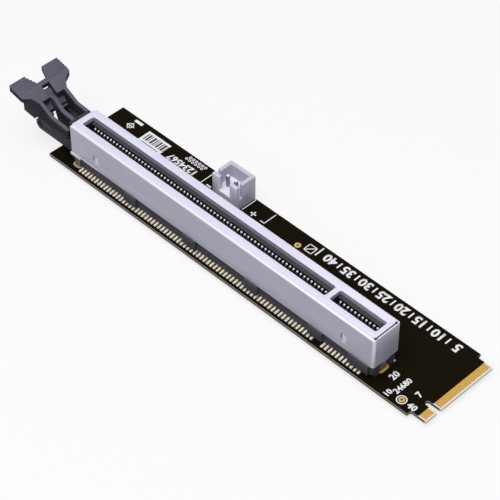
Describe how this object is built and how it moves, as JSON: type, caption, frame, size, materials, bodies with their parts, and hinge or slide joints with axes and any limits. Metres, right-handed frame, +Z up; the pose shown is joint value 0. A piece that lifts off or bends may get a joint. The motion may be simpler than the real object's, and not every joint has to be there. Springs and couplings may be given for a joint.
{
  "type": "gumstick edge card to graphics card slot adapter",
  "caption": "Slim black gumstick edge card carrying a long metal-clad card slot with a swinging end latch and a small two-pin power header.",
  "frame": {"origin": "middle of the card's gold-edged end face, half way through the board's thickness and on its centre line", "axes": "+X out of the card's edge, against the latch end; +Z up out of the slot's mouth; +Y across the board towards the power header"},
  "size_m": [0.1203, 0.0236, 0.0162],
  "materials": {
    "board": "matt black solder mask over glass laminate",
    "gold": "gold plated copper",
    "tin": "tinned copper and solder",
    "contact": "tin and gold plated spring contacts",
    "housing": "black glass-filled moulding",
    "shell": "satin folded stainless sheet",
    "latch": "black satin moulding",
    "header": "natural white nylon",
    "pin": "tin plated square posts"
  },
  "bodies": {
    "adapter": {"circuit_board": "board", "edge_fingers_top": "gold", "edge_fingers_under": "gold", "screw_ring_top": "gold", "screw_ring_under": "gold", "leg_rings": "gold", "test_pads": "gold", "contact_pads_near_long": "tin", "contact_pads_near_short": "tin", "contact_pads_far_long": "tin", "contact_pads_far_short": "tin", "slot_contacts_near_long": "contact", "slot_contacts_near_short": "contact", "slot_contacts_far_long": "contact", "slot_contacts_far_short": "contact", "pin_solder": "tin", "leg_solder": "tin", "slot_housing": "housing", "slot_shell": "shell", "header_housing": "header", "header_pin_1": "pin", "header_pin_2": "pin"},
    "latch": {"latch_lever": "latch"}
  },
  "joints": [
    {"name": "latch_pivot", "type": "hinge", "parent": "adapter", "child": "latch", "pos_m": [-0.1141, -0.0057, 0.0054], "axis": [0, -1, 0], "range_deg": [0, 25]}
  ]
}
